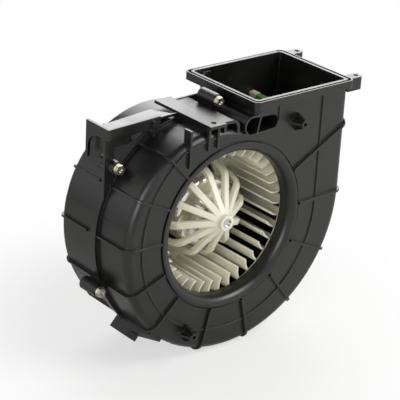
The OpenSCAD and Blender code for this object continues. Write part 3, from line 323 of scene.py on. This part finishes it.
tinned_brass, tree, shader, place = start_finish("tinned_brass_strip", Metallic=1)
rolling = add(tree, "TexNoise", {}, {
    "Vector": add(tree, "Mapping", {}, {"Vector": place, "Scale": (1, 0.1, 1)}).outputs[0],
    "Scale": per_mm(0.5), "Detail": 2})
tree.links.new(add(tree, "MixRGB", {}, {
    "Fac": rolling.outputs["Fac"], "Color1": linear("#b7a874"), "Color2": linear("#d8cda6")}).outputs[0],
    shader.inputs["Base Color"])
tree.links.new(add(tree, "MapRange", {}, {
    "Value": rolling.outputs["Fac"], "To Min": 0.24, "To Max": 0.4}).outputs[0], shader.inputs["Roughness"])
dress(tinned_brass, "motor_terminals", "resistor_terminals")


# Motor sleeve: a moulded ring of soft EPDM rubber between can and mount, against hum.
# It is deep black and dull, with a bloom of pale dust.

rubber, tree, shader, place = start_finish("moulded_epdm_rubber", Roughness=0.8)
bloom = add(tree, "TexNoise", {}, {"Vector": place, "Scale": per_mm(6), "Detail": 5})
tree.links.new(add(tree, "MixRGB", {}, {
    "Fac": bloom.outputs["Fac"], "Color1": linear("#101010"), "Color2": linear("#272726")}).outputs[0],
    shader.inputs["Base Color"])
dress(rubber, "motor_sleeve")


# Fan wheel: one moulding of unpigmented nylon, with 37 forward-curved blades.
# The plastic is milky: light enters it, so thin blades glow and hollows turn warm olive.

natural_nylon, tree, shader, place = start_finish(
    "moulded_natural_nylon", IOR=1.53, Subsurface_Weight=0.55, Subsurface_Scale=4 * MM)
shader.inputs["Subsurface Radius"].default_value = (1.0, 0.95, 0.6)
milk = add(tree, "TexNoise", {}, {"Vector": place, "Scale": per_mm(16), "Detail": 4})
tree.links.new(add(tree, "MixRGB", {}, {
    "Fac": milk.outputs["Fac"], "Color1": linear("#e8e4cb"), "Color2": linear("#f6f3e2")}).outputs[0],
    shader.inputs["Base Color"])
skin = add(tree, "TexNoise", {}, {"Vector": place, "Scale": per_mm(1.2), "Detail": 3})
tree.links.new(add(tree, "MapRange", {}, {
    "Value": skin.outputs["Fac"], "To Min": 0.3, "To Max": 0.46}).outputs[0], shader.inputs["Roughness"])
edge = add(tree, "Bevel", {"samples": 4}, {"Radius": 0.5 * MM})
tree.links.new(add(tree, "Bump", {}, {
    "Height": skin.outputs["Fac"], "Strength": 0.12, "Distance": 0.15 * MM,
    "Normal": edge.outputs[0]}).outputs[0], shader.inputs["Normal"])
dress(natural_nylon, "fan_wheel")


# Hub insert: a turned steel bush, moulded into the wheel's hub and pressed on the shaft.
# Turning leaves a bright, finely marked face.

turned_steel, tree, shader, place = start_finish("turned_steel_bush", Metallic=1)
cuts = add(tree, "TexNoise", {}, {"Vector": place, "Scale": per_mm(0.5), "Detail": 2})
tree.links.new(add(tree, "MixRGB", {}, {
    "Fac": cuts.outputs["Fac"], "Color1": linear("#b8b8b2"), "Color2": linear("#e2e2dc")}).outputs[0],
    shader.inputs["Base Color"])
tree.links.new(add(tree, "MapRange", {}, {
    "Value": cuts.outputs["Fac"], "To Min": 0.15, "To Max": 0.3}).outputs[0], shader.inputs["Roughness"])
dress(turned_steel, "hub_insert")


# Scroll halves, motor mount and resistor plate: black talc-filled polypropylene from
# spark-eroded tools. The satin face is charcoal where it mirrors the room, with soft flow marks
# and a painted highlight: the edges are painted lighter than the face.

black_pp, tree, shader, place = start_finish("moulded_black_polypropylene", IOR=1.5)
# The tool's grain is 0.3 mm; it is drawn at 0.9 mm so that it shows.
grain = add(tree, "TexNoise", {}, {"Vector": place, "Scale": per_mm(0.9), "Detail": 3})
flow = add(tree, "TexNoise", {}, {
    "Vector": add(tree, "Mapping", {}, {"Vector": place, "Scale": (1, 0.3, 1)}).outputs[0],
    "Scale": per_mm(22), "Detail": 5, "Distortion": 0.6})
edge = add(tree, "Bevel", {"samples": 4}, {"Radius": 0.7 * MM})
flat = add(tree, "NewGeometry").outputs["Normal"]
turned = add(tree, "VectorMath", {"operation": "DOT_PRODUCT"}, {0: edge.outputs[0], 1: flat})
# Painted highlight: the colour turns lighter along every edge, where the bevelled normal leaves the face's
# own.
painted_edge_highlight = add(tree, "MapRange", {}, {
    "Value": turned.outputs["Value"], "From Min": 0.99, "From Max": 0.75, "To Min": 0, "To Max": 0.5})
body = add(tree, "MixRGB", {}, {
    "Fac": flow.outputs["Fac"], "Color1": linear("#0e0e0d"), "Color2": linear("#171716")})
tree.links.new(add(tree, "MixRGB", {}, {
    "Fac": painted_edge_highlight.outputs[0], "Color1": body.outputs[0], "Color2": linear("#33332f")}).outputs[0],
    shader.inputs["Base Color"])
tree.links.new(add(tree, "MapRange", {}, {
    "Value": flow.outputs["Fac"], "From Min": 0.3, "From Max": 0.7,
    "To Min": 0.28, "To Max": 0.38}).outputs[0], shader.inputs["Roughness"])
tree.links.new(add(tree, "Bump", {}, {
    "Height": grain.outputs["Fac"], "Strength": 0.15, "Distance": 0.1 * MM,
    "Normal": edge.outputs[0]}).outputs[0], shader.inputs["Normal"])
dress(black_pp, "front_housing", "rear_housing", "motor_mount", "resistor_base")


# Two plates of the bracket that the front half's solid lacks, moulded in one piece with it.
# The roof beside the deck goes on to the end of the trough, and the panel behind the arch goes
# on to the rear, so that no daylight shows through the arch.

# Millimetres, from the places where the solid's own roof and panel end.
ROOF_LEFT, ROOF_RIGHT = -14, -2
ROOF_FRONT, ROOF_REAR = 37, 60.2
ROOF_LOW, ROOF_TOP = 88.1, 90.5
PANEL_LEFT, PANEL_RIGHT = -94.64, -92.64
PANEL_FRONT, PANEL_REAR = 60.5, 70
PANEL_LOW, PANEL_TOP = 67.5, 86.5


def plate(name, low, high):
    """A flat plate of the front half between two corners in millimetres."""
    corners = [(x, y, z) for x in (low[0], high[0]) for y in (low[1], high[1]) for z in (low[2], high[2])]
    sides = [(0, 1, 3, 2), (4, 6, 7, 5), (0, 4, 5, 1), (2, 3, 7, 6), (0, 2, 6, 4), (1, 5, 7, 3)]
    mesh = bpy.data.meshes.new(name)
    mesh.from_pydata([Vector(c) * MM for c in corners], [], sides)
    mesh.materials.append(black_pp)
    made = bpy.data.objects.new(name, mesh)
    bpy.context.collection.objects.link(made)
    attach(made, "housing")


plate("trough_roof", (ROOF_LEFT, ROOF_FRONT, ROOF_LOW), (ROOF_RIGHT, ROOF_REAR, ROOF_TOP))
plate("arch_panel", (PANEL_LEFT, PANEL_FRONT, PANEL_LOW), (PANEL_RIGHT, PANEL_REAR, PANEL_TOP))


# Screws: cold-headed steel, zinc plated and passivated pale yellow.
# The thin film shifts between grey-green and cream, and the edges are a little rounded.

yellow_zinc, tree, shader, place = start_finish("yellow_passivated_zinc", Metallic=1)
film = add(tree, "TexNoise", {}, {"Vector": place, "Scale": per_mm(5), "Detail": 3})
tree.links.new(add(tree, "MixRGB", {}, {
    "Fac": film.outputs["Fac"], "Color1": linear("#a5a596"), "Color2": linear("#cac8ba")}).outputs[0],
    shader.inputs["Base Color"])
tree.links.new(add(tree, "MapRange", {}, {
    "Value": film.outputs["Fac"], "To Min": 0.2, "To Max": 0.38}).outputs[0], shader.inputs["Roughness"])
edge = add(tree, "Bevel", {"samples": 4}, {"Radius": 0.3 * MM})
tree.links.new(edge.outputs[0], shader.inputs["Normal"])
dress(yellow_zinc, "housing_screws", "mount_screws", "resistor_screws")


# Resistor: a wire-wound element dipped in green enamel on a cream steatite holder.
# The enamel flows over the turns and stays glossy; the steatite is chalky.

green_enamel, tree, shader, place = start_finish(
    "dipped_green_enamel", Roughness=0.25, IOR=1.55, Coat_Weight=0.4, Coat_Roughness=0.1)
dip = add(tree, "TexNoise", {}, {"Vector": place, "Scale": per_mm(4), "Detail": 4})
tree.links.new(add(tree, "MixRGB", {}, {
    "Fac": dip.outputs["Fac"], "Color1": linear("#4f8a3a"), "Color2": linear("#86b45a")}).outputs[0],
    shader.inputs["Base Color"])
dress(green_enamel, "resistor_body")

steatite, tree, shader, place = start_finish("fired_steatite", Roughness=0.6)
chalk = add(tree, "TexNoise", {}, {"Vector": place, "Scale": per_mm(2), "Detail": 4})
tree.links.new(add(tree, "MixRGB", {}, {
    "Fac": chalk.outputs["Fac"], "Color1": linear("#cfc69f"), "Color2": linear("#e6dfc3")}).outputs[0],
    shader.inputs["Base Color"])
dress(steatite, "resistor_holder")


# Floor and room: a sheet of white card in a white room with a dark ceiling.
# The card takes the shadow near the blower and turns plain white further out.
# Satin plastic mirrors the white walls near the horizon, and little from above.

# Metres: half the card's width, and where its shadow starts and ends fading, from the middle
FLOOR_HALF = 4
SHADOW_FROM, SHADOW_TO = 0.1, 0.27
# Share of plain white in the card close to the blower
CARD_WHITE = 0.62
# Where the wall fades into the ceiling, as the upward part of a direction, and the ceiling's strength
WALL_ENDS, CEILING_STARTS, CEILING = 0.35, 0.7, 0.1
# Strength of the room's light on matt surfaces
ROOM_LIGHT = 0.13
stage_z = cad_low.z

card, tree, shader, place = start_finish("white_card", Roughness=0.9, Base_Color=linear("#f2f2f0"))
away = add(tree, "VectorMath", {"operation": "LENGTH"}, {0: place})
plain = add(tree, "MapRange", {"interpolation_type": "SMOOTHSTEP"}, {
    "Value": away.outputs["Value"], "From Min": SHADOW_FROM, "From Max": SHADOW_TO,
    "To Min": CARD_WHITE, "To Max": 1})
seen = add(tree, "Math", {"operation": "MULTIPLY"}, {
    0: plain.outputs[0], 1: add(tree, "LightPath").outputs["Is Camera Ray"]})
white = add(tree, "Emission", {}, {"Color": (1, 1, 1, 1), "Strength": 1})
mixed = add(tree, "MixShader", {}, {0: seen.outputs[0], 1: shader.outputs[0], 2: white.outputs[0]})
tree.links.new(mixed.outputs[0], tree.nodes["Material Output"].inputs["Surface"])
sheet = bpy.data.meshes.new("floor")
sheet.from_pydata(
    [(x, y, 0) for x, y in ((-1, -1), (1, -1), (1, 1), (-1, 1))], [], [(0, 1, 2, 3)])
sheet.transform(Matrix.Scale(FLOOR_HALF, 4))
sheet.materials.append(card)
floor = bpy.data.objects.new("floor", sheet)
floor.location = ((cad_low.x + cad_high.x) / 2, (cad_low.y + cad_high.y) / 2, stage_z)
bpy.context.collection.objects.link(floor)

world = bpy.data.worlds.new("white_room")
world.use_nodes = True
bpy.context.scene.world = world
tree = world.node_tree
path = add(tree, "LightPath")
height = add(tree, "SeparateXYZ", {}, {0: add(tree, "TexCoord").outputs["Generated"]}).outputs["Z"]
wall = add(tree, "MapRange", {"interpolation_type": "SMOOTHSTEP"}, {
    "Value": height, "From Min": WALL_ENDS, "From Max": CEILING_STARTS, "To Min": 1, "To Max": CEILING})
mirrored = add(tree, "Math", {"operation": "MAXIMUM"}, {
    0: path.outputs["Is Glossy Ray"], 1: path.outputs["Is Transmission Ray"]})
mirrored = add(tree, "Math", {"operation": "MULTIPLY"}, {0: mirrored.outputs[0], 1: wall.outputs[0]})
seen = add(tree, "Math", {"operation": "MAXIMUM"}, {
    0: path.outputs["Is Camera Ray"], 1: mirrored.outputs[0]})
level = add(tree, "MapRange", {}, {"Value": seen.outputs[0], "To Min": ROOM_LIGHT, "To Max": 1})
tree.links.new(level.outputs[0], tree.nodes["Background"].inputs["Strength"])
tree.nodes["Background"].inputs["Color"].default_value = (1, 1, 1, 1)


# Studio lamps, as one faces the inlet: a broad soft box behind on the right, which rakes over
# deck and arm, one at the front right for the face, and a weak one at the left.

def soft_box(name, place, aim, size, power):
    """A square lamp that faces a point, with its places and side in metres and its power in watts."""
    lamp = bpy.data.lights.new(name, "AREA")
    lamp.size, lamp.energy = size, power
    box = bpy.data.objects.new(name, lamp)
    box.location = place
    box.rotation_euler = (Vector(aim) - Vector(place)).to_track_quat("-Z", "Y").to_euler()
    bpy.context.collection.objects.link(box)


soft_box("back_box", place=(0.78, 0.98, 0.7), aim=(0, 0.04, 0.05), size=1.1, power=14)
soft_box("front_right_box", place=(0.7, -0.9, 0.9), aim=(0, 0.04, 0), size=0.8, power=15)
soft_box("left_box", place=(-1.0, -0.6, 0.45), aim=(0, 0.04, 0), size=0.7, power=6)


# Camera: a long lens at the photograph's angle, a little rolled.
# Its place is given as turn, height and roll round the blower, and as sideways and upward offset.

TURN, HEIGHT, ROLL = (math.radians(a) for a in (-40.5, 23.7, 3.2))
DISTANCE, ASIDE, ABOVE = 1300 * MM, -25.3 * MM, 20.4 * MM
# Focal length and image width in pixels, and the sensor's width in millimetres
FOCAL_PIXELS, IMAGE_PIXELS, SENSOR = 1628.9, 400, 36

back = Vector((math.sin(TURN) * math.cos(HEIGHT), -math.cos(TURN) * math.cos(HEIGHT), math.sin(HEIGHT)))
level_right = Vector((math.cos(TURN), math.sin(TURN), 0))
level_up = back.cross(level_right)
right = math.cos(ROLL) * level_right + math.sin(ROLL) * level_up
up = math.cos(ROLL) * level_up - math.sin(ROLL) * level_right
lens = bpy.data.cameras.new("camera")
lens.sensor_width = SENSOR
lens.lens = SENSOR * FOCAL_PIXELS / IMAGE_PIXELS
camera = bpy.data.objects.new("camera", lens)
camera.matrix_world = Matrix.Translation(back * DISTANCE + right * ASIDE + up * ABOVE) @ Matrix(
    (right, up, back)).transposed().to_4x4()
bpy.context.collection.objects.link(camera)
bpy.context.scene.camera = camera
bpy.context.scene.view_settings.view_transform = "Standard"
